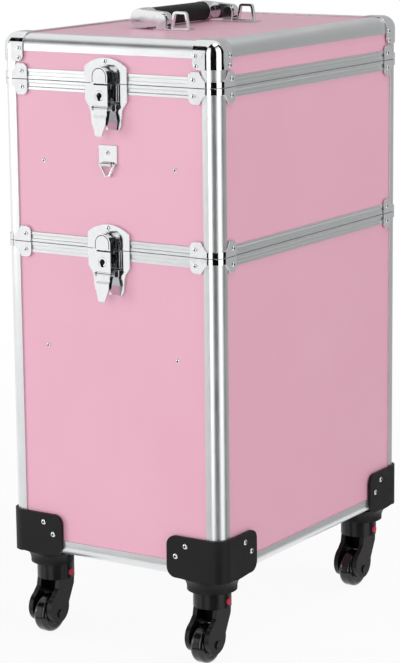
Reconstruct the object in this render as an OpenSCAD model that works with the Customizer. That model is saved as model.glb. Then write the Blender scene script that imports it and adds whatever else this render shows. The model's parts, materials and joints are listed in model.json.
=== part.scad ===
// Rolling makeup case: a lid, an upper case and a lower case on four swivel casters.
// Millimetres, +Z up, front towards -Y. The floor is z = 0.

/* [Case] */
// Width over the edge trims, left to right
case_w = 250; // [236:2:300]
// Depth over the edge trims, front to back
case_d = 354; // [330:2:400]
// Height of the lower case
lower_h = 320; // [290:2:360]
// Height of the upper case
upper_h = 161; // [150:1:200]
// Height of the lid
lid_h = 44; // [44:1:60]
// Height of the case's underside above the floor
ground_gap = 88; // [84:1:100]
// Gap between the closed rims
seam_gap = 0.5; // [0.4:0.1:1]
// Thickness of the wall panels
panel_t = 4; // [3:0.5:4.5]
// Thickness of the lining sheets
lining_t = 1; // [0.8:0.1:1.1]

/* [Edge trims] */
// Width of the trim on each face
edge_w = 16.5; // [15:0.5:20]
// Outer rounding of the trims
edge_r = 12; // [9:0.5:13]
// Wall of the trims over the panels
wall_t = 1.4; // [1:0.1:1.6]
// Thickness of the inner lips
lip_t = 1.2; // [1:0.1:1.5]
// Height of the rim trims at the seams
rim_h = 10; // [8:0.5:12]
// Clearance of a panel in its slot
slot_c = 0.1; // [0.05:0.05:0.2]

/* [Corner fittings] */
// Thickness of the pressed corner plates
plate_t = 1.2; // [0.8:0.1:1.5]
// Reach of the seam brackets from the corner
seam_reach = 31; // [28:0.5:36]
// Height of half a seam bracket
seam_plate_h = 15.5; // [13:0.5:18]
// Height of half the band round the corner
seam_band_h = 6.3; // [5:0.1:8]
// Reach of the ball corners from the corner
ball_reach = 26.3; // [24:0.1:30]
// Height of the ball corners' legs below the lid's top
ball_drop = 27; // [25:0.5:28]
// Radius of the rivet heads
rivet_r = 2.3; // [1.8:0.1:2.6]
// Height of the rivet heads
rivet_h = 1.1; // [0.8:0.1:1.5]

/* [Latches] */
// Width of the latch plates
latch_w = 49; // [44:1:54]
// Height of the arched strike plate above the seam
strike_h = 24.6; // [23:0.1:26]
// Length of the base plate below the seam
latch_drop = 44.6; // [42:0.1:48]
// Width of the hook
hook_w = 19; // [17:0.5:21]
// Height of the hook above the seam
hook_h = 17; // [15.5:0.5:18]
// Distance of the hook's face from the case
hook_out = 12.4; // [11.5:0.1:13.5]
// Depth of the lever's pivot below the seam
lever_drop = 23; // [22:0.5:25]
// Length of the lever below its pivot
lever_len = 27; // [24:0.5:30]
// Radius of the latch pins
pin_r = 1.2; // [1:0.1:1.4]
// Radial clearance of the latch pins
pin_c = 0.05; // [0.03:0.01:0.08]

/* [Carry handle] */
// Distance between the handle's brackets
bracket_gap = 124; // [116:1:140]
// Height of the handle's hinge above the lid
hinge_up = 9; // [9:0.1:10]
// Length of the handle's arms
arm_len = 28; // [26:1:34]
// Width of the grip
grip_w = 22; // [18:1:24]
// Thickness of the grip
grip_t = 18.5; // [16:0.5:18.5]

/* [Strap rings] */
// Width of the ring's plate
ring_plate_w = 21; // [19:1:24]
// Height of the ring's plate
ring_plate_h = 18.5; // [17:0.5:21]
// Depth of the ring's hinge below the lid's seam
ring_drop = 78; // [74:1:84]
// Radius of the ring's wire
ring_wire_r = 1.2; // [1:0.1:1.3]
// Length of the ring below its hinge
ring_len = 11; // [10:0.5:13]

/* [Lid hinge] */
// Length of the hinge
hinge_len = 150; // [120:2:170]
// Radius of the knuckles
knuckle_r = 3; // [2.6:0.1:3.4]
// Radius of the hinge pin
hinge_pin_r = 1.5; // [1.2:0.1:1.7]

/* [Pull handle] */
// Distance between the tubes' axes
tube_gap = 124; // [116:2:136]
// Distance of the tubes' axes from the case's left side
tube_out = 24; // [24:0.5:27]
// Outer radius of the outer tubes
tube_r = 9; // [8.6:0.1:9.6]
// Wall of the tubes
tube_wall = 1.2; // [1:0.1:1.3]
// Radial clearance between the tubes
tube_c = 0.2; // [0.1:0.05:0.3]
// Length that stays inside when a stage is out
tube_overlap = 60; // [50:1:70]
// Radius of the pull grip
pull_grip_r = 11; // [10:0.5:11]
// Height of the pull grip's axis above the middle seam
pull_grip_up = 40; // [38:1:44]
// Travel of the release button
button_travel = 3; // [2:0.5:3.5]

/* [Trays] */
// Depth of the upper rails below the lid's seam
upper_rail_drop = 79; // [76:1:82]
// Depth of the lower rails below the middle seam
lower_rail_drop = 103; // [98:1:108]
// Distance between the two rivets of a rail
rail_rivet_gap = 154; // [140:2:160]
// Width of a tray
tray_w = 108; // [96:1:110]
// Height of a tray
tray_h = 45; // [38:1:50]
// Wall of a tray
tray_t = 1.6; // [1.4:0.1:2.5]

/* [Casters] */
// Radius of the wheels
wheel_r = 19.5; // [18:0.5:21]
// Width of the wheels
wheel_w = 16; // [15:0.5:18]
// Distance of the wheel's axle behind the swivel's axis
trail = 12; // [10.5:0.1:13]
// Radius of the swivel's neck
neck_r = 19; // [18:0.5:20]
// Inset of the swivel's axis from the corner's faces
swivel_in = 29.5; // [28.5:0.5:31]
// Thickness of the sockets
sock_t = 3; // [2.5:0.1:3.5]
// Length of the sockets' flanges along the case
sock_w = 61.5; // [59:0.5:66]
// Height of the sockets' flanges above the underside
sock_h = 43; // [41:0.5:46]
// Height of the sockets' cups below the underside
cup_h = 15; // [14:0.5:16.5]
// Radius of the stems
stem_r = 5.5; // [5:0.1:6]
// Radius of the axles
axle_r = 3; // [2.5:0.1:3.5]
// Radial running clearance of stems, wheels and axles
run_c = 0.06; // [0.04:0.01:0.09]
// Radius of the rivet heads on the sockets
sock_rivet_r = 2.8; // [2.4:0.1:3]
// Travel of the caster's release button
caster_travel = 1.5; // [1:0.1:2]

/* [Hidden] */
$fn = 48;

pink = [0.93, 0.74, 0.80];
silver = [0.80, 0.81, 0.80];
chrome = [0.90, 0.90, 0.91];
black = [0.10, 0.10, 0.10];
red = [0.75, 0.12, 0.20];
lining = [0.16, 0.15, 0.16];

eps = 0.01;
cut = 1;

// Heights of the case's underside, its two seams and its top
z_bot = ground_gap;
z_mid = z_bot + lower_h;
z_lid = z_mid + upper_h;
z_top = z_lid + lid_h;
half_w = case_w / 2;
half_d = case_d / 2;

// Depths below the outer face: panel, lip and core of the trims
core = edge_r + 1;
panel_out = wall_t + slot_c;
panel_in = panel_out + panel_t;
lip_out = panel_in + slot_c;
lip_in = lip_out + lip_t;
lining_in = panel_in + lining_t;
lip_end = edge_w;
butt_gap = 0.1;
web_t = 1.6;
ledge_in = edge_w;
bar_w = case_w - 2 * edge_w - 2 * butt_gap;
bar_d = case_d - 2 * edge_w - 2 * butt_gap;

// The whole model is centred between its left and right reaches
lever_tip_out = hook_out + 2.6;
clamp_r = tube_r + 2;
left_reach = half_w + tube_out + max(pull_grip_r, clamp_r);
right_reach = half_w + sock_t + rivet_h;
x_shift = (left_reach - right_reach) / 2;

fit_gap = 0.3;
seat_gap = 0.05;

module placed() {
    translate([x_shift, 0, 0]) children();
}

// Copies a piece made at the front left corner to all four corners
module four_corners() {
    for (mx = [0, 1], my = [0, 1])
        mirror([mx, 0, 0]) mirror([0, my, 0]) translate([-half_w, -half_d, 0]) children();
}

module front_and_back() {
    for (my = [0, 1]) mirror([0, my, 0]) translate([0, -half_d, 0]) children();
}

module both_sides() {
    for (mx = [0, 1]) mirror([mx, 0, 0]) translate([-half_w, 0, 0]) children();
}

// Extrudes a section along X: its x is the depth into the case and its y is the height
module along_x(len) {
    translate([-len / 2, 0, 0]) rotate([90, 0, 90]) linear_extrude(len) children();
}

module along_y(len) {
    translate([0, len / 2, 0]) rotate([90, 0, 0]) linear_extrude(len) children();
}

module four_bars(z) {
    translate([0, 0, z]) {
        front_and_back() along_x(bar_w) children();
        both_sides() along_y(bar_d) children();
    }
}

// Section of a corner or edge trim, with its outer corner at the origin
module edge_section() {
    difference() {
        union() {
            intersection() {
                translate([edge_r, edge_r]) circle(edge_r);
                square(core);
            }
            translate([edge_r, 0]) square([core - edge_r, core]);
            translate([0, edge_r]) square([core, core - edge_r]);
            translate([edge_r, 0]) square([edge_w - edge_r, wall_t]);
            translate([0, edge_r]) square([wall_t, edge_w - edge_r]);
            translate([core - 1, lip_out]) square([lip_end - core + 1, lip_t]);
            translate([lip_out, core - 1]) square([lip_t, lip_end - core + 1]);
        }
        translate([core / 2, core / 2]) circle(core / 4);
    }
}

// Section of a rim trim, with the seam at height 0 and the trim above it
module rim_section(reach_in) {
    groove = 0.5;
    low = rim_h * 0.3;
    high = rim_h * 0.72;
    polygon([
        [0, 0], [reach_in, 0], [reach_in, web_t], [lip_in, web_t], [lip_in, rim_h], [lip_out, rim_h],
        [lip_out, web_t], [wall_t, web_t], [wall_t, rim_h], [0, rim_h],
        [0, high], [groove, high - groove], [groove, low + groove], [0, low],
    ]);
}

module wall_panels(z0, z1) {
    front_and_back() translate([-half_w + core + slot_c, panel_out, z0])
        cube([case_w - 2 * (core + slot_c), panel_t, z1 - z0]);
    both_sides() translate([panel_out, -half_d + core + slot_c, z0])
        cube([panel_t, case_d - 2 * (core + slot_c), z1 - z0]);
}

module level_panel(z, inset, t) {
    translate([-half_w + inset, -half_d + inset, z]) cube([case_w - 2 * inset, case_d - 2 * inset, t]);
}

module lining_walls(z0, z1) {
    inset = lip_end + slot_c;
    front_and_back() translate([-half_w + inset, panel_in, z0]) cube([case_w - 2 * inset, lining_t, z1 - z0]);
    both_sides() translate([panel_in, -half_d + inset, z0]) cube([lining_t, case_d - 2 * inset, z1 - z0]);
}

module posts(z0, z1) {
    four_corners() translate([0, 0, z0]) linear_extrude(z1 - z0) edge_section();
}

// A rivet head on a face that looks towards -Y
module rivet(r = rivet_r) {
    rotate([90, 0, 0]) rotate_extrude() polygon([
        [0, 0], [r, 0], [r, rivet_h * 0.3], [r * 0.82, rivet_h * 0.75],
        [r * 0.45, rivet_h], [0, rivet_h],
    ]);
}

// One head on each of a corner's two faces, at a distance along it and a height
module corner_rivet(along, z, out, r = rivet_r) {
    translate([along, -out, z]) rivet(r);
    translate([-out, along, z]) rotate([0, 0, -90]) rivet(r);
}

module seam_corner() {
    // Half a bracket above the seam, at the front left corner
    z0 = seam_gap / 2;
    tall = seam_plate_h - z0;
    tab_r = 6;
    for (side = [0, 1]) mirror([side, -side, 0]) rotate([90, 0, 0]) linear_extrude(plate_t) {
        translate([seam_reach - tab_r, z0 + tall - tab_r]) circle(tab_r);
        polygon([
            [edge_r, z0], [seam_reach, z0], [seam_reach, z0 + tall - tab_r], [seam_reach - tab_r, z0 + tall],
            [edge_r + 7, z0 + tall], [edge_r + 3, seam_band_h + 3], [edge_r, seam_band_h],
        ]);
    }
    corner_band(z0, seam_band_h - z0, plate_t);
}

// A quarter ring round the front left corner
module corner_band(z0, tall, t) {
    translate([edge_r, edge_r, z0]) difference() {
        cylinder(r = edge_r + t, h = tall);
        translate([0, 0, -cut]) cylinder(r = edge_r, h = tall + 2 * cut);
        translate([0, -edge_r * 2, -cut]) cube([edge_r * 4, edge_r * 4, tall + 2 * cut]);
        translate([-edge_r * 2, 0, -cut]) cube([edge_r * 4, edge_r * 4, tall + 2 * cut]);
    }
}

// Solid with a rounded corner at the origin, reaching along +X, +Y and -Z
module rounded_corner(r, reach, drop) {
    translate([r, r, -r]) sphere(r);
    translate([r, r, -drop]) cylinder(r = r, h = drop - r);
    translate([r, r, -r]) rotate([0, 90, 0]) cylinder(r = r, h = reach - r);
    translate([r, r, -r]) rotate([-90, 0, 0]) cylinder(r = r, h = reach - r);
    translate([r, r, -drop]) cube([reach - r, reach - r, drop]);
    translate([r, 0, -drop]) cube([reach - r, reach, drop - r]);
    translate([0, r, -drop]) cube([reach, reach - r, drop - r]);
}

module ball_corner() {
    tab_r = 6;
    difference() {
        translate([-plate_t, -plate_t, plate_t])
            rounded_corner(edge_r + plate_t, ball_reach + plate_t, ball_drop + plate_t);
        difference() {
            rounded_corner(edge_r, 2 * ball_reach, 2 * ball_drop);
            translate([-cut, -cut, -core]) cube([core + cut, core + cut, core + cut]);
        }
        for (side = [0, 1]) mirror([side, -side, 0])
            translate([ball_reach - tab_r, core, -ball_drop]) rotate([90, 0, 0]) difference() {
                translate([0, -cut, 0]) cube([tab_r + cut, tab_r + cut, core + cut + plate_t]);
                translate([0, tab_r, -cut]) cylinder(r = tab_r, h = 2 * core);
            }
    }
}

// The latch. Its origin is on the seam at the case's face, and it stands out towards -Y

latch_plate_t = 1.5;
latch_step = 4.5;
hook_t = 2.2;
hook_rim_in = hook_out - 5.4;
catch_out = hook_out - hook_t - fit_gap;
lever_y = -6;
hook_pin_y = -11;
ear_t = 1.5;
arm_t = 1.5;
hook_top_r = hook_w / 2;
lever_w = hook_w - 2 * arm_t - 2 * fit_gap;
ear_x = hook_w / 2 + fit_gap;
plug_r = 5;
plug_z = -10.8;
plug_len = 4.2;
key_r = 2.8;
key_slot_w = 2;
hook_end = -20.6;
arm_end_r = 2.2;
strike_rivet_z = strike_h - 3.4;

module plate_y(y0, y1) {
    translate([0, y1, 0]) rotate([90, 0, 0]) linear_extrude(y1 - y0) children();
}

module strike_outline() {
    side_h = strike_h - 9;
    arch_r = (latch_w * latch_w / 4 + 81) / 18;
    intersection() {
        translate([-latch_w / 2, seam_gap / 2]) square([latch_w, strike_h - seam_gap / 2]);
        translate([0, strike_h - arch_r]) circle(arch_r, $fn = 96);
    }
}

module hook_outline(shrink, z0) {
    r = hook_top_r - shrink;
    translate([0, hook_h - hook_top_r]) circle(r);
    translate([-r, z0]) square([2 * r, hook_h - hook_top_r - z0]);
}

module latch_strike() {
    dome_r = latch_w * 0.3;
    dome_top = strike_rivet_z - rivet_r - 0.6;
    plate_y(-latch_plate_t, 0) strike_outline();
    plate_y(0, panel_out) intersection() {
        strike_outline();
        translate([-latch_w, rim_h + fit_gap]) square([2 * latch_w, strike_h]);
    }
    plate_y(-latch_step, -latch_plate_t) intersection() {
        translate([0, dome_top - dome_r]) circle(dome_r);
        translate([-latch_w, seam_gap / 2]) square([2 * latch_w, strike_h]);
    }
    plate_y(-catch_out, -latch_step) hook_outline(arm_t + fit_gap + 0.2, seam_gap / 2);
}

module base_outline() {
    wide = latch_w / 2;
    low = wide * 0.76;
    half = [
        [wide, -seam_gap / 2], [wide, -16.5], [wide - 2.5, -20.5], [low + 1.5, -22.5],
        [low, -27], [low - 1.5, -latch_drop + 4], [low - 4.5, -latch_drop],
    ];
    for (side = [0, 1]) mirror([side, 0]) polygon(concat([[-eps, -seam_gap / 2]], half, [[-eps, -latch_drop]]));
}

module latch_base() {
    plate_y(-latch_plate_t, 0) base_outline();
    plate_y(0, panel_out) intersection() {
        base_outline();
        translate([-latch_w, -latch_drop]) square([2 * latch_w, latch_drop - rim_h - fit_gap]);
    }
    plate_y(-latch_step, -latch_plate_t) translate([-latch_w * 0.3, -17]) square([latch_w * 0.6, 17 - seam_gap / 2]);
    for (side = [-1, 1])
        translate([side * (ear_x + ear_t / 2) - ear_t / 2, 0, -lever_drop]) {
            translate([0, lever_y, -3]) cube([ear_t, -lever_y - latch_plate_t + eps, 6]);
            translate([0, lever_y, 0]) rotate([0, 90, 0]) cylinder(r = 3, h = ear_t);
        }
    translate([-ear_x - ear_t, lever_y, -lever_drop]) rotate([0, 90, 0]) cylinder(r = pin_r, h = 2 * (ear_x + ear_t));
}

module latch_lever() {
    // A flat top between the hook's arms, and a wedge below it that stands out to the tip
    tip = -lever_drop - lever_len;
    top = -lever_drop + 2;
    step = -lever_drop - 7;
    face = -hook_out + 0.8;
    difference() {
        translate([-lever_w / 2, 0, 0]) rotate([90, 0, 90]) linear_extrude(lever_w) union() {
            polygon([
                [face, top], [face, step], [face - 1.6, step - 1.8], [-lever_tip_out, tip + 1.4],
                [-lever_tip_out + 0.8, tip], [-lever_tip_out + 2, tip], [face + 2.6, tip + 13.5],
                [lever_y, -lever_drop - 3.6], [lever_y, top],
            ]);
            translate([lever_y, -lever_drop]) circle(3.6);
        }
        translate([-hook_w, lever_y, -lever_drop]) rotate([0, 90, 0]) cylinder(r = pin_r + pin_c, h = 2 * hook_w);
    }
    translate([-hook_w / 2, hook_pin_y, -lever_drop]) rotate([0, 90, 0]) cylinder(r = pin_r, h = hook_w);
}

module latch_hook(keyed) {
    difference() {
        union() {
            plate_y(-hook_out, -hook_out + hook_t) hook_outline(0, hook_end);
            // The rim that turns back round the plate
            plate_y(-hook_out + hook_t - eps, -hook_rim_in) difference() {
                hook_outline(0, hook_end + 0.4);
                hook_outline(arm_t, hook_end - cut);
            }
            for (side = [-1, 1]) {
                x0 = side * (hook_w / 2 - arm_t / 2) - arm_t / 2;
                translate([x0, hook_pin_y - arm_end_r + 0.9, -lever_drop]) cube([arm_t, arm_end_r * 2 - 1.8, 4]);
                translate([x0, hook_pin_y, -lever_drop]) rotate([0, 90, 0]) cylinder(r = arm_end_r, h = arm_t);
            }
        }
        // The slit at the seam, and the line round the arched top
        translate([-hook_w / 2 + 3, -hook_out - cut, -0.7]) cube([hook_w - 3 + cut, cut + 1, 1.4]);
        plate_y(-hook_out - cut, -hook_out + 0.5) difference() {
            hook_outline(1.3, 2);
            hook_outline(2, 2 - cut);
        }
        if (keyed)
            translate([0, 0, plug_z]) rotate([90, 0, 0])
                translate([0, 0, hook_out - hook_t - cut]) cylinder(r = plug_r + run_c, h = hook_t + 2 * cut);
        translate([-hook_w, hook_pin_y, -lever_drop]) rotate([0, 90, 0]) cylinder(r = pin_r + pin_c, h = 2 * hook_w);
    }
}

// The lock's plug turns in the hook's plate, and has a keyway
module latch_plug() {
    translate([0, 0, plug_z]) difference() {
        rotate([90, 0, 0]) translate([0, 0, hook_out - plug_len]) cylinder(r = plug_r, h = plug_len);
        rotate([90, 0, 0]) translate([0, 0, hook_out - 3]) cylinder(r = key_r, h = 3 + cut);
        translate([-key_slot_w / 2, -hook_out - cut, -plug_r + 0.3]) cube([key_slot_w, 3 + cut, plug_r - 0.3]);
    }
}

module at_latch(z, back) {
    rotate([0, 0, back ? 180 : 0]) translate([0, -half_d, z]) children();
}

// Strap rings

ring_y = -ring_wire_r - 0.3;
ring_bar = 17;
ring_foot = 5;
loop_r = ring_wire_r + 1.2;
z_ring = z_lid - ring_drop;

module ring_plate() {
    difference() {
        union() {
            translate([-ring_plate_w / 2, 0, 0]) cube([ring_plate_w, panel_out, ring_plate_h]);
            translate([-ring_bar / 2 + 3, ring_y, 0]) rotate([0, 90, 0]) cylinder(r = loop_r, h = ring_bar - 6);
            translate([-ring_bar / 2 + 3, ring_y, 0]) cube([ring_bar - 6, panel_out - ring_y, loop_r]);
        }
        translate([-ring_plate_w, ring_y, 0]) rotate([0, 90, 0]) cylinder(r = ring_wire_r + run_c, h = 2 * ring_plate_w);
    }
}

module wire(p, q) {
    // A straight wire between two points of the XZ plane, with round ends
    run = q - p;
    translate([p[0], 0, p[1]]) {
        sphere(ring_wire_r + 0.03);
        rotate([0, atan2(run[0], run[1]), 0]) cylinder(r = ring_wire_r, h = norm(run));
    }
}

module strap_ring() {
    pts = [[-ring_bar / 2, 0], [ring_bar / 2, 0], [ring_foot / 2, -ring_len], [-ring_foot / 2, -ring_len]];
    translate([0, ring_y, 0]) for (i = [0:3]) wire(pts[i], pts[(i + 1) % 4]);
}

module at_ring(back) {
    rotate([0, 0, back ? 180 : 0]) translate([0, -half_d, z_ring]) children();
}

// Lid hinge

hinge_y = half_d + knuckle_r + 0.2;
leaf_t = 1.5;
leaf_h = 20;
knuckles = 5;
knuckle_gap = 0.3;
knuckle_len = hinge_len / knuckles;

module hinge_leaf(first, up, bore) {
    z_side = up ? 1 : -1;
    for (i = [first:2:knuckles - 1]) {
        x0 = -hinge_len / 2 + i * knuckle_len + knuckle_gap / 2;
        translate([x0, 0, z_lid]) difference() {
            union() {
                translate([0, hinge_y, 0]) rotate([0, 90, 0]) cylinder(r = knuckle_r, h = knuckle_len - knuckle_gap);
                translate([0, half_d, up ? 0 : -knuckle_r]) cube([knuckle_len - knuckle_gap, leaf_t, knuckle_r]);
            }
            translate([-cut, hinge_y, 0]) rotate([0, 90, 0]) cylinder(r = bore, h = knuckle_len + 2 * cut);
        }
    }
    translate([-hinge_len / 2, half_d, z_lid + z_side * (knuckle_r + leaf_h / 2) - leaf_h / 2])
        cube([hinge_len, leaf_t, leaf_h]);
    translate([-hinge_len / 2, half_d - panel_out, z_lid + z_side * (rim_h + fit_gap + 6) - 6])
        cube([hinge_len, panel_out, 12]);
}

// Carry handle, folded to the left, with its hinge along Y

z_hinge = z_top + hinge_up;
z_lid_face = z_top - panel_out;
hinge_x = -9;
ear_r = 5.5;
eye_r = 7;
eye_gap = 9;
handle_ear_t = 2.5;
handle_pin_r = 2;
arm_t_y = eye_gap - 1;
foot_t = 1.5;
foot_past = 1.5;
stop_x = 10;
stop_t = 3.5;
stop_foot = 11;
stop_top = 8.5;
stop_top_r = 3.8;
stop_wall = 2.6;
stop_h = hinge_up + panel_out + 8;

// Outline of the framed stop beside the hinge, drawn in by a wall's width
module stop_outline(inset) {
    r = stop_top_r - inset;
    foot = stop_foot - inset;
    top = stop_top - inset;
    z_round = stop_h - stop_top_r;
    for (side = [-1, 1]) translate([side * (stop_top - stop_top_r), z_round]) circle(r);
    polygon([[-foot, inset], [foot, inset], [top, z_round], [-top, z_round]]);
    translate([-(stop_top - stop_top_r), z_round - eps]) square([2 * (stop_top - stop_top_r), r + eps]);
}

module handle_bracket() {
    foot_d = eye_gap + 2 * handle_ear_t + 2;
    foot_x0 = hinge_x - ear_r - foot_past;
    translate([foot_x0, -foot_d / 2, z_lid_face]) cube([stop_x + stop_foot + foot_past - foot_x0, foot_d, foot_t]);
    for (side = [-1, 1])
        translate([hinge_x, side * (eye_gap + handle_ear_t) / 2 + handle_ear_t / 2, z_hinge]) rotate([90, 0, 0])
            linear_extrude(handle_ear_t) {
                circle(ear_r);
                translate([-ear_r, z_lid_face - z_hinge]) square([2 * ear_r, z_hinge - z_lid_face]);
            }
    translate([hinge_x, (eye_gap + 2 * handle_ear_t) / 2, z_hinge]) rotate([90, 0, 0])
        cylinder(r = handle_pin_r, h = eye_gap + 2 * handle_ear_t);
    translate([stop_x, stop_t / 2, z_lid_face]) rotate([90, 0, 0]) linear_extrude(stop_t) difference() {
        stop_outline(0);
        stop_outline(stop_wall);
    }
}

module stadium(w, t) {
    translate([-(w - t) / 2, 0]) circle(t / 2);
    translate([(w - t) / 2, 0]) circle(t / 2);
    translate([-(w - t) / 2, -t / 2]) square([w - t, t]);
}

grip_len = bracket_gap - arm_t_y - 2 * seat_gap;

// An arm narrows from the grip's end to the eye on the hinge
module handle_arm() {
    difference() {
        translate([hinge_x, arm_t_y / 2, z_hinge]) rotate([90, 0, 0]) linear_extrude(arm_t_y) {
            circle(eye_r);
            polygon([[0, -eye_r], [0, eye_r], [-arm_len, grip_t / 2], [-arm_len, -grip_t / 2]]);
            translate([-arm_len, 0]) stadium(grip_w, grip_t);
        }
        translate([hinge_x, eye_gap, z_hinge]) rotate([90, 0, 0])
            cylinder(r = handle_pin_r + run_c, h = 2 * eye_gap);
    }
}

band_w = 10;

module grip_band() {
    band_t = 0.8;
    translate([hinge_x - arm_len, band_w / 2, z_hinge]) rotate([90, 0, 0]) linear_extrude(band_w) difference() {
        stadium(grip_w + 2 * band_t, grip_t + 2 * band_t);
        stadium(grip_w + 2 * run_c, grip_t + 2 * run_c);
    }
}

// Pull handle on the lower case's left side, clear of the lid that opens backwards

tube_y = half_w + tube_out;
mid_r = tube_r - tube_wall - tube_c;
in_r = mid_r - tube_wall - tube_c;
z_tube = z_bot + 14;
z_outer_top = z_mid - 10;
z_middle_top = z_mid - 4;
z_inner_top = z_mid + pull_grip_up - pull_grip_r - 2;
stage_travel = z_outer_top - z_tube - tube_overlap - 8;
bracket_h = 14;
pull_grip_len = tube_gap + 26;
button_w = 26;
button_d = 9;
button_h = 6;

// Turns a piece made behind the case to its left side
module on_left() {
    rotate([0, 0, 90]) children();
}

module at_tubes() {
    on_left() for (side = [-1, 1]) translate([side * tube_gap / 2, tube_y, 0]) children();
}

module tube(r, z0, z1) {
    translate([0, 0, z0]) difference() {
        cylinder(r = r, h = z1 - z0);
        translate([0, 0, -cut]) cylinder(r = r - tube_wall, h = z1 - z0 + 2 * cut);
    }
}

module tube_bracket(z) {
    block_w = 2 * tube_r + 8;
    translate([0, 0, z]) difference() {
        union() {
            cylinder(r = clamp_r, h = bracket_h);
            translate([-block_w / 2, -tube_out - panel_out, 0]) cube([block_w, tube_out + panel_out, bracket_h]);
        }
        translate([0, 0, -cut]) cylinder(r = tube_r + run_c, h = bracket_h + 2 * cut);
    }
}

// Tray rails and trays

z_upper_rail = z_lid - upper_rail_drop;
z_lower_rail = z_mid - lower_rail_drop;
rail_t = 1.5;
rail_h = 14;
rail_ledge = 12;
rail_len = case_w - 2 * (lip_end + 2 * slot_c);
tray_reach = half_w - core - 0.5;
tray_travel = 2 * tray_reach - tray_w;
tray_y = half_d - lining_in - rail_t - 0.5;
tray_cells = 3;

module tray_rails(z) {
    front_and_back() translate([0, lining_in, z]) along_x(rail_len) polygon([
        [0, -rail_h / 2], [rail_ledge, -rail_h / 2], [rail_ledge, -rail_h / 2 + rail_t],
        [rail_t, -rail_h / 2 + rail_t], [rail_t, rail_h / 2], [0, rail_h / 2],
    ]);
}

module tray(z) {
    z0 = z - rail_h / 2 + rail_t + slot_c;
    cell = (2 * tray_y - (tray_cells + 1) * tray_t) / tray_cells;
    difference() {
        translate([-tray_reach, -tray_y, z0]) cube([tray_w, 2 * tray_y, tray_h]);
        for (i = [0:tray_cells - 1])
            translate([-tray_reach + tray_t, -tray_y + tray_t + i * (cell + tray_t), z0 + tray_t])
                cube([tray_w - 2 * tray_t, cell, tray_h]);
    }
}

// Casters

z_collar = z_bot - cup_h;
collar_r = neck_r + 6;
flare_r = 13;
sock_rise = 0.6;
skirt_past = 8;
wheel_round = 5;
cheek_r = 16;
cheek_z = wheel_r + 7;
cheek_y = -trail - 1.5;
fork_out = wheel_w / 2 + 6;
fork_in = wheel_w / 2 + 1;
neck_top = z_collar - fit_gap;
crown_z = neck_top - 16.7;
button_r = 3.5;
button_z = (crown_z + neck_top) / 2 - 1.9;
stem_h = cup_h - 4;
sock_round = 10;

// Flange of a socket along the front, with rounded ends
module socket_flange() {
    low = z_bot + sock_rise;
    tall = sock_h - sock_rise;
    rotate([90, 0, 0]) linear_extrude(sock_t) {
        translate([edge_r, low]) square([sock_w - edge_r - sock_round, tall]);
        translate([sock_w - sock_round - eps, low + sock_round]) square([sock_round + eps, tall - 2 * sock_round]);
        translate([sock_w - sock_round, low + sock_round]) circle(sock_round);
        translate([sock_w - sock_round, low + tall - sock_round]) circle(sock_round);
    }
}

// A square with the case's rounded corner, grown outwards
module corner_square(side, grow) {
    translate([edge_r, edge_r]) circle(edge_r + grow);
    translate([edge_r, -grow]) square([side - edge_r, side + grow]);
    translate([-grow, edge_r]) square([side + grow, side - edge_r]);
}

// A collar whose side curves out into a wide top
module flared_collar() {
    flare_z = z_bot + sock_rise - z_collar;
    rotate_extrude() difference() {
        square([collar_r + flare_r + 1, flare_z + 6]);
        translate([collar_r, -cut]) square([flare_r + 2, flare_z - flare_r + cut]);
        translate([collar_r + flare_r, flare_z - flare_r]) {
            circle(flare_r);
            square([2, flare_r]);
        }
    }
}

// The skirt curves in from the flanges to the collar, and is open towards the case's middle
module socket_skirt() {
    difference() {
        intersection() {
            translate([swivel_in, swivel_in, z_collar]) flared_collar();
            translate([0, 0, z_collar - cut]) linear_extrude(sock_h + cup_h) corner_square(sock_w, sock_t);
            translate([0, 0, z_collar - cut]) linear_extrude(sock_h + cup_h) {
                far = 2 * swivel_in + skirt_past * sqrt(2);
                polygon([[-cup_h, -cup_h], [far + cup_h, -cup_h], [-cup_h, far + cup_h]]);
            }
        }
        translate([0, 0, z_bot]) linear_extrude(sock_h) corner_square(2 * sock_w, 0);
    }
}

module caster_socket() {
    socket_flange();
    mirror([1, -1, 0]) socket_flange();
    corner_band(z_bot, sock_h, sock_t);
    difference() {
        union() {
            socket_skirt();
            translate([swivel_in, swivel_in, z_collar]) cylinder(r = neck_r, h = cup_h);
            translate([swivel_in, swivel_in, z_bot - sock_t]) cylinder(r = collar_r, h = sock_t);
        }
        translate([swivel_in, swivel_in, z_collar - cut]) cylinder(r = stem_r + run_c, h = stem_h + cut + 0.5);
    }
}

// A caster at a corner: its wheel trails towards the front, and its button faces right
module at_caster(right, back) {
    translate([(right ? 1 : -1) * (half_w - swivel_in), (back ? 1 : -1) * (half_d - swivel_in), 0]) children();
}

// A fork seen from its side: rounded around the wheel, and as wide as the neck at the top
module fork_side() {
    reach = sqrt(neck_r ^ 2 - fork_out ^ 2) - 0.2;
    polygon([
        [-reach, crown_z + 1], [reach, crown_z + 1], [reach - 1, crown_z - 9],
        [cheek_y + cheek_r * cos(8), cheek_z + cheek_r * sin(8)], [cheek_y, cheek_z],
        [cheek_y - cheek_r * cos(25), cheek_z + cheek_r * sin(25)], [-reach - 2.2, crown_z - 9],
    ]);
    translate([cheek_y, cheek_z]) circle(cheek_r);
}

module fork_slab(from, to) {
    translate([from, 0, 0]) rotate([90, 0, 90]) linear_extrude(to - from) fork_side();
}

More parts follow.
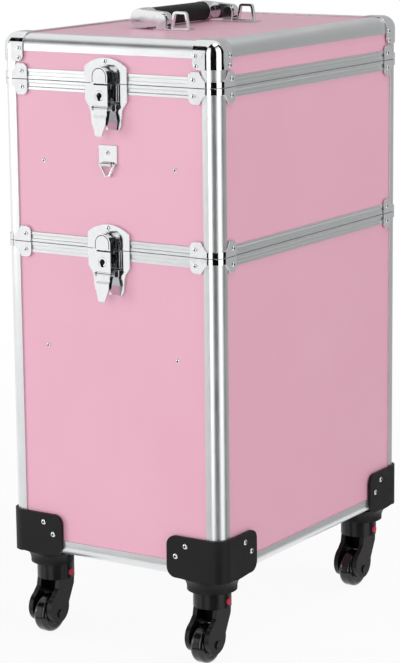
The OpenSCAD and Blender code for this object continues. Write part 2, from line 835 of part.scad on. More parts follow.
module caster_fork(right, back) {
    at_caster(right, back) {
        difference() {
            union() {
                translate([0, 0, crown_z]) cylinder(r = neck_r, h = neck_top - crown_z);
                fork_slab(-fork_out, fork_out);
            }
            // room for the wheel, open at the front and closed behind it
            translate([-fork_in, -3 * wheel_r, -cut]) cube([2 * fork_in, 3 * wheel_r + 3, crown_z + cut]);
            translate([-fork_in, -3 * wheel_r, -cut]) cube([2 * fork_in, 5 * wheel_r, 1.7 * wheel_r + cut]);
            translate([-fork_in, -trail, wheel_r]) rotate([0, 90, 0]) cylinder(r = wheel_r + 2.5, h = 2 * fork_in);
            translate([-neck_r - cut, -trail, wheel_r]) rotate([0, 90, 0])
                cylinder(r = axle_r + run_c, h = 2 * (neck_r + cut));
            translate([neck_r - 9, 0, button_z]) rotate([0, 90, 0]) cylinder(r = button_r + run_c, h = 12);
        }
        translate([0, 0, neck_top - eps]) cylinder(r = stem_r, h = stem_h + fit_gap);
        translate([-fork_out - 1.2, -trail, wheel_r]) rotate([0, 90, 0]) {
            cylinder(r = axle_r, h = 2 * fork_out + 2.4);
            translate([0, 0, 0]) cylinder(r = axle_r + 1.5, h = 1);
            translate([0, 0, 2 * fork_out + 1.4]) cylinder(r = axle_r + 1.5, h = 1);
        }
    }
}

module caster_wheel(right, back) {
    hub_r = wheel_r - 7.5;
    half = wheel_w / 2;
    at_caster(right, back) translate([0, -trail, wheel_r]) rotate([0, 90, 0]) {
        rotate_extrude() difference() {
            union() {
                translate([hub_r, -half]) square([wheel_r - wheel_round - hub_r, wheel_w]);
                translate([hub_r, -half + wheel_round]) square([wheel_r - hub_r, wheel_w - 2 * wheel_round]);
                for (side = [-1, 1]) translate([wheel_r - wheel_round, side * (half - wheel_round)])
                    circle(wheel_round);
            }
            translate([0, -wheel_w]) square([hub_r + run_c, 2 * wheel_w]);
        }
        difference() {
            cylinder(r = hub_r, h = wheel_w, center = true);
            cylinder(r = axle_r + run_c, h = wheel_w + cut, center = true);
            for (side = [-1, 1]) translate([0, 0, side * half]) difference() {
                cylinder(r = hub_r - 2.5, h = 4, center = true);
                cylinder(r = axle_r + 3, h = 6, center = true);
            }
        }
    }
}

module caster_button(right, back) {
    at_caster(right, back) translate([neck_r - 9 + caster_travel + fit_gap, 0, button_z]) rotate([0, 90, 0])
        cylinder(r = button_r, h = 9 - fit_gap);
}

// Lower case

module lower_panels() color(pink) placed() {
    wall_panels(z_bot + core + slot_c, z_mid - seam_gap / 2 - web_t - slot_c);
    level_panel(z_bot + panel_out, core + slot_c, panel_t);
}

module lower_frame() color(silver) placed() {
    posts(z_bot, z_mid - seam_gap / 2);
    four_bars(z_bot) edge_section();
    four_bars(z_mid - seam_gap / 2) mirror([0, 1]) rim_section(lip_in);
}

module lower_seam_corners() color(chrome) placed()
    four_corners() translate([0, 0, z_mid]) mirror([0, 0, 1]) seam_corner();

module lower_rivets() color(chrome) placed() {
    four_corners() {
        corner_rivet(seam_reach - 6, z_mid - seam_plate_h / 2, plate_t);
        corner_rivet(39.5, z_bot + 34, sock_t, sock_rivet_r);
        corner_rivet(51, z_bot + 22.5, sock_t, sock_rivet_r);
    }
    front_and_back() for (side = [-1, 1])
        translate([side * rail_rivet_gap / 2, panel_out, z_lower_rail]) rivet();
}

module lower_lining() color(lining) placed() {
    lining_walls(z_bot + lip_end + slot_c, z_mid - seam_gap / 2 - rim_h - slot_c);
    level_panel(z_bot + panel_in, lip_end + slot_c, lining_t);
}

module caster_sockets() color(black) placed() four_corners() caster_socket();

module lower_latch_bases() color(chrome) placed() {
    for (back = [false, true]) at_latch(z_mid, back) latch_base();
}

module pull_outer_tubes() color(silver) placed() at_tubes() tube(tube_r, z_tube, z_outer_top);

module pull_brackets() color(black) placed() at_tubes() {
    tube_bracket(z_bot + sock_h + 4);
    tube_bracket(z_outer_top - bracket_h - rim_h);
}

module lower_tray_rails() color(silver) placed() tray_rails(z_lower_rail);

module lower_tray() color(black) placed() tray(z_lower_rail);

// Upper case

module upper_panels() color(pink) placed() {
    wall_panels(z_mid + seam_gap / 2 + web_t + slot_c, z_lid - seam_gap / 2 - web_t - slot_c);
    level_panel(z_mid + seam_gap / 2 + web_t, core + slot_c, panel_t);
}

module upper_frame() color(silver) placed() {
    posts(z_mid + seam_gap / 2, z_lid - seam_gap / 2);
    four_bars(z_mid + seam_gap / 2) rim_section(ledge_in);
    four_bars(z_lid - seam_gap / 2) mirror([0, 1]) rim_section(lip_in);
}

module upper_seam_corners() color(chrome) placed() four_corners() {
    translate([0, 0, z_mid]) seam_corner();
    translate([0, 0, z_lid]) mirror([0, 0, 1]) seam_corner();
}

module upper_rivets() color(chrome) placed() {
    four_corners() {
        corner_rivet(seam_reach - 6, z_mid + seam_plate_h / 2, plate_t);
        corner_rivet(seam_reach - 6, z_lid - seam_plate_h / 2, plate_t);
    }
    front_and_back() for (side = [-1, 1])
        translate([side * rail_rivet_gap / 2, panel_out, z_upper_rail]) rivet();
    for (back = [false, true]) {
        at_latch(z_mid, back) translate([0, -latch_plate_t, strike_rivet_z]) rivet();
        at_ring(back) translate([0, 0, ring_plate_h * 0.6]) rivet();
    }
    hinge_rivets(-1);
}

module upper_lining() color(lining) placed() {
    z_floor = z_mid + seam_gap / 2 + web_t + panel_t;
    lining_walls(z_mid + seam_gap / 2 + rim_h + slot_c, z_lid - seam_gap / 2 - rim_h - slot_c);
    level_panel(z_floor, lip_end + slot_c, lining_t);
}

module upper_latch_base() color(chrome) placed() at_latch(z_lid, false) latch_base();

module upper_strikes() color(chrome) placed() {
    for (back = [false, true]) at_latch(z_mid, back) latch_strike();
}

module strap_ring_plates() color(chrome) placed() {
    for (back = [false, true]) at_ring(back) ring_plate();
}

module upper_tray_rails() color(silver) placed() tray_rails(z_upper_rail);

module upper_tray() color(black) placed() tray(z_upper_rail);

module hinge_case_leaf() color(chrome) placed() hinge_leaf(0, false, hinge_pin_r + run_c);

module hinge_pin() color(chrome) placed() translate([-hinge_len / 2, hinge_y, z_lid]) rotate([0, 90, 0])
    cylinder(r = hinge_pin_r, h = hinge_len);

// Lid

module lid_panels() color(pink) placed() {
    wall_panels(z_lid + seam_gap / 2 + web_t + slot_c, z_top - core - slot_c);
    level_panel(z_top - panel_in, core + slot_c, panel_t);
}

module lid_frame() color(silver) placed() {
    posts(z_lid + seam_gap / 2, z_top - core);
    four_bars(z_top) mirror([0, 1]) edge_section();
    four_bars(z_lid + seam_gap / 2) rim_section(lip_in);
}

module lid_ball_corners() color(chrome) placed() four_corners() translate([0, 0, z_top]) ball_corner();

module lid_seam_corners() color(chrome) placed() four_corners() translate([0, 0, z_lid]) seam_corner();

module lid_rivets() color(chrome) placed() {
    four_corners() {
        corner_rivet(seam_reach - 6, z_lid + seam_plate_h / 2, plate_t);
        corner_rivet(ball_reach - 4, z_top - 14, plate_t);
        corner_rivet(ball_reach - 4.5, z_top - ball_drop + 3.5, plate_t);
    }
    at_latch(z_lid, false) translate([0, -latch_plate_t, strike_rivet_z]) rivet();
    hinge_rivets(1);
}

// The heads that hold one leaf of the lid's hinge
module hinge_rivets(up) {
    for (x = [-0.4, -0.13, 0.13, 0.4])
        rotate([0, 0, 180])
            translate([x * hinge_len, -half_d - leaf_t, z_lid + up * (knuckle_r + leaf_h * 0.55)]) rivet();
}

module lid_lining() color(lining) placed() {
    lining_walls(z_lid + seam_gap / 2 + rim_h + slot_c, z_top - lip_end - slot_c);
    level_panel(z_top - panel_in - lining_t, lip_end + slot_c, lining_t);
}

module lid_strike() color(chrome) placed() at_latch(z_lid, false) latch_strike();

module handle_brackets() color(chrome) placed()
    for (side = [-1, 1]) translate([0, side * bracket_gap / 2, 0]) handle_bracket();

module hinge_lid_leaf() color(chrome) placed() hinge_leaf(1, true, hinge_pin_r + run_c);

module handle_grip() color(black) placed()
    translate([hinge_x - arm_len, grip_len / 2, z_hinge]) rotate([90, 0, 0]) linear_extrude(grip_len)
        stadium(grip_w, grip_t);

module handle_ends() color(chrome) placed() for (side = [-1, 1]) {
    translate([0, side * bracket_gap / 2, 0]) handle_arm();
    translate([0, side * (grip_len - band_w) / 2, 0]) grip_band();
}

// Latches' moving pieces

module lid_latch_lever() color(chrome) placed() at_latch(z_lid, false) latch_lever();

module lid_latch_hook() color(chrome) placed() at_latch(z_lid, false) latch_hook(true);

module lid_latch_plug() color(chrome) placed() at_latch(z_lid, false) latch_plug();

module case_latch_lever() color(chrome) placed() at_latch(z_mid, false) latch_lever();

module case_latch_hook() color(chrome) placed() at_latch(z_mid, false) latch_hook(true);

module case_latch_plug() color(chrome) placed() at_latch(z_mid, false) latch_plug();

module rear_latch_lever() color(chrome) placed() at_latch(z_mid, true) latch_lever();

module rear_latch_hook() color(chrome) placed() at_latch(z_mid, true) latch_hook(false);

module strap_ring_front() color(chrome) placed() at_ring(false) strap_ring();

module strap_ring_back() color(chrome) placed() at_ring(true) strap_ring();

// Pull handle's moving pieces

module pull_middle_tubes() color(silver) placed() at_tubes() tube(mid_r, z_tube + 4, z_middle_top);

module pull_inner_tubes() color(silver) placed() at_tubes() tube(in_r, z_tube + 8, z_inner_top);

module pull_grip() color(black) placed() {
    z_axis = z_mid + pull_grip_up;
    difference() {
        union() {
            on_left() translate([-pull_grip_len / 2, tube_y, z_axis]) rotate([0, 90, 0])
                cylinder(r = pull_grip_r, h = pull_grip_len);
            at_tubes() translate([0, 0, z_inner_top - 16]) cylinder(r = in_r + 3, h = 16 + pull_grip_r);
        }
        at_tubes() translate([0, 0, z_inner_top - 16 - cut]) cylinder(r = in_r + run_c, h = 16 + cut + run_c);
        on_left() translate([-button_w / 2 - fit_gap, tube_y - button_d / 2 - fit_gap, z_axis + 2])
            cube([button_w + 2 * fit_gap, button_d + 2 * fit_gap, 2 * pull_grip_r]);
    }
}

module pull_button() color(red) placed() on_left()
    translate([-button_w / 2, tube_y - button_d / 2, z_mid + pull_grip_up + 2 + fit_gap + button_travel])
        cube([button_w, button_d, button_h]);

lower_panels();
lower_frame();
lower_seam_corners();
lower_rivets();
lower_lining();
caster_sockets();
lower_latch_bases();
pull_outer_tubes();
pull_brackets();
lower_tray_rails();
lower_tray();
upper_panels();
upper_frame();
upper_seam_corners();
upper_rivets();
upper_lining();
upper_latch_base();
upper_strikes();
strap_ring_plates();
upper_tray_rails();
hinge_case_leaf();
hinge_pin();
upper_tray();
lid_panels();
lid_frame();
lid_ball_corners();
lid_seam_corners();
lid_rivets();
lid_lining();
lid_strike();
handle_brackets();
hinge_lid_leaf();
handle_grip();
handle_ends();
lid_latch_lever();
lid_latch_hook();
lid_latch_plug();
case_latch_lever();
case_latch_hook();
case_latch_plug();
rear_latch_lever();
rear_latch_hook();
strap_ring_front();
strap_ring_back();
pull_middle_tubes();
pull_inner_tubes();
pull_grip();
pull_button();
color(black) placed() caster_fork(false, false);  // caster_fork_fl
color(black) placed() caster_fork(true, false);  // caster_fork_fr
color(black) placed() caster_fork(false, true);  // caster_fork_bl
color(black) placed() caster_fork(true, true);  // caster_fork_br
color(black) placed() caster_wheel(false, false);  // caster_wheel_fl
color(black) placed() caster_wheel(true, false);  // caster_wheel_fr
color(black) placed() caster_wheel(false, true);  // caster_wheel_bl
color(black) placed() caster_wheel(true, true);  // caster_wheel_br
color(red) placed() caster_button(false, false);  // caster_button_fl
color(red) placed() caster_button(true, false);  // caster_button_fr
color(red) placed() caster_button(false, true);  // caster_button_bl
color(red) placed() caster_button(true, true);  // caster_button_br
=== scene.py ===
"""The looks of a rolling makeup case: pink laminate panels in aluminium edges, on four casters."""

import json
import math

import bmesh
import bpy
from mathutils import Matrix, Vector

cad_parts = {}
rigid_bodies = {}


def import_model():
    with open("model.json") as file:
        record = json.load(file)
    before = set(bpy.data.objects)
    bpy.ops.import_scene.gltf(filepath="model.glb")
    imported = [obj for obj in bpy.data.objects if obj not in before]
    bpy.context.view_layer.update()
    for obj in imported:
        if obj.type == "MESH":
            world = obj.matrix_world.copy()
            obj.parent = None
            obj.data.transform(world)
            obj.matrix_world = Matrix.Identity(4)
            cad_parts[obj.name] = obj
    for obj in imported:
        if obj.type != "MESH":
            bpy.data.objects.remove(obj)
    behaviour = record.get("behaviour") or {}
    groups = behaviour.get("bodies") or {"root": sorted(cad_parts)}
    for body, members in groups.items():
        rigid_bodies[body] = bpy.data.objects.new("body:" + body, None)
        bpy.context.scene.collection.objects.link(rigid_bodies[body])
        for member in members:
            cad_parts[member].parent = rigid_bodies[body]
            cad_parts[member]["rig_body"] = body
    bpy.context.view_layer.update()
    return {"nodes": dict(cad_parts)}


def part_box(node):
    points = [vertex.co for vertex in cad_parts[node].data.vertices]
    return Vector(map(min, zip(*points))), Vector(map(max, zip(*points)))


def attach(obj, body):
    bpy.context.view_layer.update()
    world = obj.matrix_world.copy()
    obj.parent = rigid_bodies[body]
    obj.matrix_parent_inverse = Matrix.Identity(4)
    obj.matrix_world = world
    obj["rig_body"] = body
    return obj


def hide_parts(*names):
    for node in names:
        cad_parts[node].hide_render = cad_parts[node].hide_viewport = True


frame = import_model()
MM = 0.001

# Camera

# places and distances in metres, angles in degrees, lens and sensor in mm
CAM_PLACE = (1.36045, -2.0893, 0.8035)
CAM_AZIMUTH = 32.99
CAM_ELEVATION = 11.56
CAM_ROLL = -0.64
CAM_LENS = 132.57
SENSOR = 36
CAM_FAR = 50


def new_object(name, data):
    """An object in the scene with this data."""
    piece = bpy.data.objects.new(name, data)
    bpy.context.scene.collection.objects.link(piece)
    return piece


def make_camera():
    """The camera, where the photograph's stood."""
    data = bpy.data.cameras.new("camera")
    data.lens = CAM_LENS
    data.sensor_width = SENSOR
    data.clip_end = CAM_FAR
    camera = new_object("camera", data)
    azimuth, elevation, roll = (math.radians(a) for a in (CAM_AZIMUTH, CAM_ELEVATION, CAM_ROLL))
    level = math.cos(elevation)
    back = Vector((math.sin(azimuth) * level, -math.cos(azimuth) * level, math.sin(elevation)))
    right = (-back).cross(Vector((0, 0, 1))).normalized()
    up = right.cross(-back)
    across = math.cos(roll) * right + math.sin(roll) * up
    along = math.cos(roll) * up - math.sin(roll) * right
    turn = Matrix((across, along, back)).transposed()
    camera.matrix_world = Matrix.Translation(CAM_PLACE) @ turn.to_4x4()
    bpy.context.scene.camera = camera


make_camera()

# Materials


def srgb(red, green, blue):
    """A colour written as 0 to 255, as Blender's linear values."""
    shares = [level / 255 for level in (red, green, blue)]
    linear = [c / 12.92 if c <= 0.04045 else ((c + 0.055) / 1.055) ** 2.4 for c in shares]
    return (*linear, 1)


def scaled(tone, share, lift=0.0):
    """A colour times a share, plus a little."""
    return tuple(c * share + lift for c in tone[:3]) + (1,)


class Nodes:
    """One material's node tree, with a Principled shader and short ways to add to it."""

    def __init__(self, name, **shader):
        self.material = bpy.data.materials.new(name)
        self.material.use_nodes = True
        self.tree = self.material.node_tree
        self.tree.nodes.clear()
        out = self.tree.nodes.new("ShaderNodeOutputMaterial")
        self.shader = self.add("BsdfPrincipled", **shader)
        self.tree.links.new(self.shader.outputs[0], out.inputs["Surface"])
        self.place = self.add("TexCoord").outputs["Object"]

    def add(self, kind, props=None, **inputs):
        """A new node; its inputs are given by name, or as no_0, no_1 by place."""
        node = self.tree.nodes.new("ShaderNode" + kind)
        for key, value in (props or {}).items():
            setattr(node, key, value)
        for key, value in inputs.items():
            self.put(node, key.replace("_", " "), value)
        return node

    def put(self, node, socket, value):
        """Sets one input, or links another node's output to it."""
        target = node.inputs[int(socket[3:])] if socket.startswith("no ") else node.inputs[socket]
        if isinstance(value, bpy.types.NodeSocket):
            self.tree.links.new(value, target)
        else:
            target.default_value = value

    def noise(self, scale, detail=3, rough=0.55, stretch=(1, 1, 1)):
        """Noise from 0 to 1; scale counts its features per metre."""
        place = self.add("Mapping", Vector=self.place, Scale=stretch).outputs[0]
        node = self.add("TexNoise", Vector=place, Scale=scale, Detail=detail, Roughness=rough)
        return node.outputs["Fac"]

    def ramp(self, value, low, high, start=0.35, end=0.65):
        """A value or a colour that goes from low to high as the input goes from start to end."""
        if isinstance(low, tuple):
            node = self.add("ValToRGB", no_0=value)
            for stop, place, colour in zip(node.color_ramp.elements, (start, end), (low, high)):
                stop.position, stop.color = place, colour
            return node.outputs["Color"]
        range_ends = {"From_Min": start, "From_Max": end, "To_Min": low, "To_Max": high}
        return self.add("MapRange", Value=value, **range_ends).outputs[0]

    def bump(self, height, depth, strength):
        """The normal of a surface that a height moves by up to a depth in metres."""
        return self.add("Bump", Height=height, Distance=depth, Strength=strength).outputs[0]

    def maths(self, what, a, b):
        """One calculation with two values."""
        return self.add("Math", {"operation": what}, no_0=a, no_1=b).outputs[0]

    def shared(self, a, b, share):
        """Two values added up: the first by this share, and the second by the rest."""
        first = self.maths("MULTIPLY", a, share)
        second = self.maths("MULTIPLY", b, 1 - share)
        return self.maths("ADD", first, second)

    def set(self, **inputs):
        """Sets the shader's sockets, and gives the material."""
        for key, value in inputs.items():
            self.put(self.shader, key.replace("_", " "), value)
        return self.material


# how much darker or paler the worn places are
METAL_DARK = 0.93
PILE_DARK = 0.6
FILM_PALE = 1.35
FILM_LIFT = 0.004
# how fast the noise of brushed metal changes along its lines, as a share of across them
LINE_STRETCH = 0.02


def laminate(name, pale, deep):
    """A smooth plastic-faced sheet with a faint orange peel and a few rubbed places."""
    look = Nodes(name, Coat_Weight=0.8, Coat_Roughness=0.45)
    cloud = look.noise(9, detail=4)
    peel = look.noise(1100, detail=3)
    rub = look.noise(55, detail=6, rough=0.7)
    return look.set(
        Base_Color=look.ramp(cloud, deep, pale, 0.3, 0.7),
        Roughness=look.ramp(rub, 0.38, 0.5),
        Normal=look.bump(peel, 0.04 * MM, 0.6),
    )


def brushed(name, axis, tone, rough):
    """Satin metal with fine lines along one axis."""
    look = Nodes(name, Metallic=1.0, Anisotropic=0.35)
    stretch = tuple(LINE_STRETCH if i == axis else 1 for i in range(3))
    lines = look.noise(3600, detail=2, stretch=stretch)
    smudge = look.noise(28, detail=5, rough=0.6)
    dark = scaled(tone, METAL_DARK)
    mixed = look.shared(lines, smudge, share=0.6)
    return look.set(
        Base_Color=look.ramp(mixed, dark, tone),
        Roughness=look.ramp(mixed, rough - 0.04, rough + 0.05),
        Normal=look.bump(lines, 0.006 * MM, 0.5),
    )


def polished(name, tone, rough):
    """Plated metal: clear reflections, with fingermarks and hairline scratches."""
    look = Nodes(name, Metallic=1.0)
    smudge = look.noise(120, detail=6, rough=0.65)
    hair = look.noise(900, detail=2, stretch=(1, 0.15, 0.4))
    dark = scaled(tone, METAL_DARK)
    return look.set(
        Base_Color=look.ramp(smudge, dark, tone),
        Roughness=look.ramp(smudge, rough, rough + 0.12, 0.4, 0.75),
        Normal=look.bump(hair, 0.006 * MM, 0.5),
    )


def moulded(name, tone, rough, grain=900, depth=0.03 * MM, coat=0.0):
    """Moulded plastic or rubber: a fine grain, and a duller film in places."""
    look = Nodes(name, Coat_Weight=coat, Coat_Roughness=0.12, Specular_IOR_Level=0.25)
    film = look.noise(35, detail=5, rough=0.65)
    fine = look.noise(grain, detail=3)
    grey = scaled(tone, FILM_PALE, FILM_LIFT)
    return look.set(
        Base_Color=look.ramp(film, tone, grey, 0.45, 0.8),
        Roughness=look.ramp(film, rough, min(rough + 0.16, 1), 0.35, 0.7),
        Normal=look.bump(fine, depth, 0.6),
    )


def cloth(name, tone):
    """A short-pile lining cloth."""
    look = Nodes(name, Sheen_Weight=0.5, Sheen_Roughness=0.4)
    pile = look.noise(2200, detail=2)
    nap = look.noise(40, detail=4)
    dark = scaled(tone, PILE_DARK)
    mixed = look.shared(pile, nap, share=0.6)
    return look.set(
        Base_Color=look.ramp(mixed, dark, tone),
        Roughness=look.ramp(nap, 0.85, 0.95),
        Normal=look.bump(pile, 0.2 * MM, 0.8),
    )


ALUMINIUM = srgb(231, 233, 234)
CHROME = srgb(232, 233, 235)
BLACK = srgb(12, 12, 12)

LOOKS = {
    "pink_laminate": [laminate("pink_sheet", srgb(240, 179, 200), srgb(237, 174, 195))],
    "aluminium_trim": [brushed(f"trim_along_{'xyz'[i]}", i, ALUMINIUM, 0.33) for i in range(3)],
    "aluminium_plain": [brushed(f"plain_along_{'xyz'[i]}", i, ALUMINIUM, 0.34) for i in range(3)],
    "chrome_fitting": [polished("chrome", CHROME, 0.07)],
    "black_plastic": [moulded("satin_black", BLACK, 0.45)],
    "fork_plastic": [moulded("fork_black", BLACK, 0.26, grain=700, coat=0.2)],
    "tray_plastic": [moulded("tray_black", srgb(44, 43, 45), 0.42, grain=1100)],
    "lining_cloth": [cloth("lining", srgb(46, 44, 47))],
    "wheel_rubber": [
        moulded("tyre_black", srgb(12, 12, 13), 0.12, grain=500, depth=0.01 * MM, coat=0.6)
    ],
    "red_plastic": [moulded("button_red", srgb(190, 52, 74), 0.3)],
}
# a flat dark look, painted as shade into rivet holes and latch grooves, where shade falls
PAINTED_SHADE = moulded("painted_shade_recess", srgb(12, 12, 12), 0.5)

# Pieces made from the CAD shapes

SMOOTH_ANGLE = math.radians(32)
FLAT_ANGLE = math.radians(0.6)
BEVEL_STEPS = 2
# in metres: points of a mesh that lie nearer than this are one
WELD = 1e-6
BEVEL = {
    # slot: how wide its edges are rounded, in mm
    "pink_laminate": 0.2,
    "aluminium_trim": 0.35,
    "aluminium_plain": 0.25,
    "chrome_fitting": 0.25,
    "black_plastic": 0.8,
    "fork_plastic": 0.6,
    "tray_plastic": 0.4,
    "lining_cloth": 0.0,
    "wheel_rubber": 0.5,
    "red_plastic": 0.5,
}


def islands(bm):
    """The connected groups of faces, in the same order each run."""
    left = dict.fromkeys(bm.faces)
    while left:
        first = left.popitem()[0]
        group, todo = [first], [first]
        while todo:
            for edge in todo.pop().edges:
                for face in edge.link_faces:
                    if face in left:
                        del left[face]
                        group.append(face)
                        todo.append(face)
        yield group


def extent(spots):
    """The low and the high corner of the box around some points."""
    return (Vector([pick(spot[i] for spot in spots) for i in range(3)]) for pick in (min, max))


def long_axis(faces):
    """The axis that a group of faces is longest along."""
    low, high = extent([point.co for face in faces for point in face.verts])
    size = [b - a for a, b in zip(low, high)]
    return size.index(max(size))


def soften(piece, width):
    """Rounds a piece's edges by a width in metres, and shades it smooth."""
    piece.data.set_sharp_from_angle(angle=SMOOTH_ANGLE)
    for face in piece.data.polygons:
        face.use_smooth = True
    if width:
        bevel = piece.modifiers.new("round_edges", "BEVEL")
        bevel.width = width
        bevel.segments = BEVEL_STEPS
        bevel.limit_method = "ANGLE"
        bevel.angle_limit = SMOOTH_ANGLE
        bevel.harden_normals = True
        bevel.use_clamp_overlap = True
    weighted = piece.modifiers.new("even_shading", "WEIGHTED_NORMAL")
    weighted.keep_sharp = True


RIVET = (
    # radius and height as shares of the head's; the last three are the hole
    (1.0, 0.0), (1.0, 0.25), (0.93, 0.5), (0.8, 0.78), (0.62, 0.96), (0.5, 1.0), (0.42, 0.96),
    (0.38, 0.75), (0.36, 0.4), (0.001, 0.36),
)
RIVET_STEPS = 28
# the radius share under which a rivet's ring is painted dark as shade, in its hole, and how near an
# end a point is part of it, in m
RIVET_PAINTED_SHADE = 0.4
TOUCH = 1e-5
# how squarely a latch's face looks out
FACING = 0.99
# a latch's grooves and the hole of its lock are painted dark as shade; in mm: how far behind a hook's
# face the grooves lie, how much of the hook's edge is left out of the painted shade, and the hole of
# its lock
GROOVE = (0.1, 1.05)
GROOVE_EDGE = 1.2
KEYHOLE = 2.3
KEYHOLE_DEPTH = 0.3
# the share of a lever's length that narrows, and the share of the width that its end keeps
TIP_SHARE = 0.42
TIP_NARROW = 0.45


def rivet_heads(bm, dark):
    """Swaps every solid of a mesh of rivets for a pop rivet's head, with its hole painted dark as
    shade.
    """
    for group in list(islands(bm)):
        points = list(dict.fromkeys(point for face in group for point in face.verts))
        low, high = extent([point.co for point in points])
        size = high - low
        index = list(size).index(min(size))
        mid = (low + high) / 2
        others = [i for i in range(3) if i != index]
        radius = max(size[i] for i in others) / 2

        def reach(end):
            """How far from the middle the points at one end of the rivet lie."""
            near = [point.co - mid for point in points if abs(point.co[index] - end) < TOUCH]
            return max(math.hypot(*(place[i] for i in others)) for place in near)

        out = 1 if reach(high[index]) < reach(low[index]) else -1
        start = low[index] if out == 1 else high[index]
        bmesh.ops.delete(bm, geom=points, context="VERTS")
        rings = []
        for wide, tall in RIVET:
            ring = []
            for k in range(RIVET_STEPS):
                turn = 2 * math.pi * k / RIVET_STEPS
                spot = mid.copy()
                spot[index] = start + out * tall * size[index]
                spot[others[0]] += wide * radius * math.cos(turn)
                spot[others[1]] += wide * radius * math.sin(turn)
                ring.append(bm.verts.new(spot))
            rings.append(ring)
        for i, (inner, outer) in enumerate(zip(rings, rings[1:])):
            for k in range(RIVET_STEPS):
                after = (k + 1) % RIVET_STEPS
                face = bm.faces.new((inner[k], inner[after], outer[after], outer[k]))
                # the hole's walls and bottom get the painted shade
                face.material_index = dark if RIVET[i + 1][0] < RIVET_PAINTED_SHADE else 0
        bm.faces.new(rings[-1]).material_index = dark
        bm.faces.new(reversed(rings[0]))
    bmesh.ops.recalc_face_normals(bm, faces=bm.faces)


def painted_shade_faces(node, faces):
    """The faces painted dark as shade in a latch's grooves: behind a hook's face, or inside its lock.
    """
    low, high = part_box(node)
    mid = [(a + b) / 2 for a, b in zip(low, high)]
    out = 1 if node.startswith("rear") else -1
    fronts = [face for face in faces if face.normal.y * out > FACING]
    front = max(fronts, key=lambda face: face.calc_area()).calc_center_median().y
    for face in faces:
        spot = face.calc_center_median()
        deep = (front - spot.y) * out / MM
        side = abs(spot.x - mid[0]) / MM
        if node.endswith("hook"):
            if GROOVE[0] < deep < GROOVE[1] and side < (high[0] - low[0]) / MM / 2 - GROOVE_EDGE:
                yield face
        elif deep > KEYHOLE_DEPTH and math.hypot(side, (spot.z - mid[2]) / MM) < KEYHOLE:
            yield face


def narrow_tip(bm):
    """A lever's tip, drawn in towards its end."""
    low, high = extent([point.co for point in bm.verts])
    mid, start = (low.x + high.x) / 2, low.z + TIP_SHARE * (high.z - low.z)
    whole = bm.verts[:] + bm.edges[:] + bm.faces[:]
    bmesh.ops.bisect_plane(bm, geom=whole, dist=WELD, plane_co=(0, 0, start), plane_no=(0, 0, 1))
    for point in bm.verts:
        share = max(0.0, (start - point.co.z) / (start - low.z))
        point.co.x = mid + (point.co.x - mid) * (1 - (1 - TIP_NARROW) * share)


def dress(node):
    """A copy of a CAD node with clean faces, softened edges and its material, and painted shade in
    its rivet holes and latch grooves.
    """
    cad = frame["nodes"][node]
    slot = cad.data.materials[0].name.split(".")[0]
    mesh = bpy.data.meshes.new(node + "_look")
    bm = bmesh.new()
    bm.from_mesh(cad.data)
    bmesh.ops.remove_doubles(bm, verts=bm.verts, dist=WELD)
    bmesh.ops.dissolve_limit(bm, angle_limit=FLAT_ANGLE, verts=bm.verts, edges=bm.edges)
    looks = list(LOOKS[slot])
    if len(looks) == 3:  # brushed metal has a look for each axis that a bar can lie along
        for group in islands(bm):
            index = long_axis(group)
            for face in group:
                face.material_index = index
    rivets = node.endswith("rivets")
    if rivets:
        rivet_heads(bm, len(looks))
    if node.endswith("latch_lever"):
        narrow_tip(bm)
    # a latch's grooves and the hole of its lock get the painted shade
    if node.endswith(("latch_hook", "latch_plug")):
        for face in painted_shade_faces(node, bm.faces):
            face.material_index = len(looks)
    # the painted shade look comes last, after the material's own looks
    looks.append(PAINTED_SHADE)
    bm.to_mesh(mesh)
    bm.free()
    for look in looks:
        mesh.materials.append(look)
    piece = new_object(node + "_look", mesh)
    soften(piece, 0 if rivets else BEVEL[slot] * MM)
    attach(piece, cad["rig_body"])
    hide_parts(node)


for node in sorted(frame["nodes"]):
    dress(node)

# Floor, lamps and world

# the floor's half width and where it fades, in metres from the origin, and how much of it shows
FLOOR_REACH = 6
FLOOR_FADE = (0.3, 1.6)
FLOOR_SHOWN = 0.08
LAMPS = {
    # name: side in degrees (0 is the front), distance, height of its middle, width, height, watts;
    # lengths here and below are in metres
    "front": (0, 3.4, 0.7, 1.8, 3.4, 44),
    "left": (-46, 3.6, 0.5, 1.9, 3.8, 25),
    "right": (89, 3.0, 0.7, 2.4, 3.4, 42),
    "key": (-56, 3.7, 0.6, 1.0, 1.0, 18),
}
# place, aim, width, depth, watts
TOP_LAMP = ((0.95, 0.05, 3.0), (0, 0, 0.3), 1.4, 0.9, 15)
WORLD_LEVEL = 0.41
# the lamps and cards stand round this place, near the case's right front corner
CARD_CENTRE = (0.14045, -0.187)
CARD_MID = 0.4  # the height from which the cards' angles are counted
LAMP_AIM = 0.5  # the height at which the lamps point
CARD_DISTANCE = 4.0
CARD_STEP = 6  # how many degrees apart a card's points are, at most
CARDS = {
    # name: the sides and then the heights that it spans, in degrees from the case, and its shade
    "card_left": (-29, -17, -30, 26, 12),
    "card_left_lamp": (-66, -29, -30, 26, 12),
    "card_front_lamp": (-17, 17, -30, 26, 90),
    "card_right_lamp": (65, 113, -30, 26, 90),
    "card_high_left": (-64, -17, 26, 50, 12),
    "card_behind": (17, 66, -30, 50, 12),
    "card_right": (113, 139, -30, 50, 12),
    "card_top": (-17, 139, 50, 84, 12),
    "card_far_left": (-146, -124, -30, 2, 12),
    "card_back": (139, 222, -30, 44, 226),
}


def aimed(place, target):
    """The matrix of a lamp at a place that shines at a target."""
    place, target = Vector(place), Vector(target)
    return Matrix.Translation(place) @ (place - target).to_track_quat("Z", "Y").to_matrix().to_4x4()


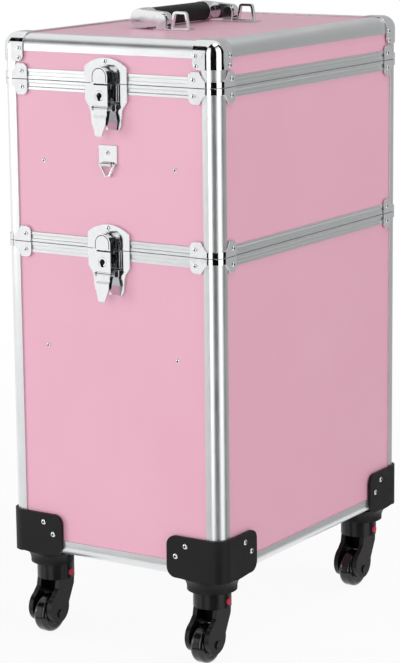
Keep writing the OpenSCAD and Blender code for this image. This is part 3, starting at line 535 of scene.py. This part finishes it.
def make_floor():
    """A white floor that fades into the white world away from the object."""
    mesh = bpy.data.meshes.new("floor")
    far = FLOOR_REACH
    corners = [(-far, -far, 0), (far, -far, 0), (far, far, 0), (-far, far, 0)]
    mesh.from_pydata(corners, [], [(0, 1, 2, 3)])
    floor = new_object("floor", mesh)
    look = Nodes("floor_white", Roughness=0.9)
    look.set(Base_Color=srgb(250, 250, 250))
    away = look.add("VectorMath", {"operation": "LENGTH"}, no_0=look.place).outputs["Value"]
    look.set(Alpha=look.ramp(away, FLOOR_SHOWN, 0.0, *FLOOR_FADE))
    mesh.materials.append(look.material)
    floor.visible_glossy = False


def make_world():
    """White where it is seen or mirrored, and dimmer as a light."""
    world = bpy.data.worlds.new("studio")
    bpy.context.scene.world = world
    world.use_nodes = True
    tree = world.node_tree
    tree.nodes.clear()
    out = tree.nodes.new("ShaderNodeOutputWorld")
    light = tree.nodes.new("ShaderNodeBackground")
    shown = tree.nodes.new("ShaderNodeBackground")
    light.inputs["Color"].default_value = shown.inputs["Color"].default_value = (1, 1, 1, 1)
    light.inputs["Strength"].default_value = WORLD_LEVEL
    shown.inputs["Strength"].default_value = 1
    path = tree.nodes.new("ShaderNodeLightPath")
    seen = path.outputs["Is Camera Ray"]
    for ray in ("Is Glossy Ray", "Is Transmission Ray"):
        either = tree.nodes.new("ShaderNodeMath")
        either.operation = "MAXIMUM"
        tree.links.new(seen, either.inputs[0])
        tree.links.new(path.outputs[ray], either.inputs[1])
        seen = either.outputs[0]
    mix = tree.nodes.new("ShaderNodeMixShader")
    tree.links.new(seen, mix.inputs[0])
    tree.links.new(light.outputs[0], mix.inputs[1])
    tree.links.new(shown.outputs[0], mix.inputs[2])
    tree.links.new(mix.outputs[0], out.inputs["Surface"])


def make_card(name, start, end, low, high, shade):
    """A curved card that stands far off and is seen in reflections only."""
    across = math.ceil((end - start) / CARD_STEP)
    up = math.ceil((high - low) / CARD_STEP)
    spots = []
    for i in range(across + 1):
        side = math.radians(start + (end - start) * i / across)
        for j in range(up + 1):
            lift = math.radians(low + (high - low) * j / up)
            out = CARD_DISTANCE * math.cos(lift)
            spots.append((
                CARD_CENTRE[0] + out * math.sin(side),
                CARD_CENTRE[1] - out * math.cos(side),
                CARD_MID + CARD_DISTANCE * math.sin(lift),
            ))
    row = up + 1
    mesh = bpy.data.meshes.new(name)
    mesh.from_pydata(spots, [], [
        (i * row + j, (i + 1) * row + j, (i + 1) * row + j + 1, i * row + j + 1)
        for i in range(across) for j in range(up)
    ])
    card = new_object(name, mesh)
    look = Nodes(name, Roughness=1.0, Specular_IOR_Level=0.0)
    look.set(Base_Color=srgb(shade, shade, shade))
    mesh.materials.append(look.material)
    for ray in ("camera", "diffuse", "shadow", "transmission"):
        setattr(card, "visible_" + ray, False)


def make_lamps():
    """The lamps, and the cards behind and between them."""
    spots = {"top": TOP_LAMP}
    for name, (side, far, mid, width, height, watts) in LAMPS.items():
        turn = math.radians(side)
        place = (CARD_CENTRE[0] + far * math.sin(turn), CARD_CENTRE[1] - far * math.cos(turn), mid)
        spots[name] = (place, (*CARD_CENTRE, LAMP_AIM), width, height, watts)
    for name, (place, target, width, height, watts) in spots.items():
        data = bpy.data.lights.new(name, "AREA")
        data.shape = "RECTANGLE"
        data.size, data.size_y, data.energy = width, height, watts
        new_object(name, data).matrix_world = aimed(place, target)
    for name, (start, end, low, high, shade) in CARDS.items():
        make_card(name, start, end, low, high, shade)


make_floor()
make_world()
make_lamps()
bpy.context.scene.view_settings.view_transform = "Standard"
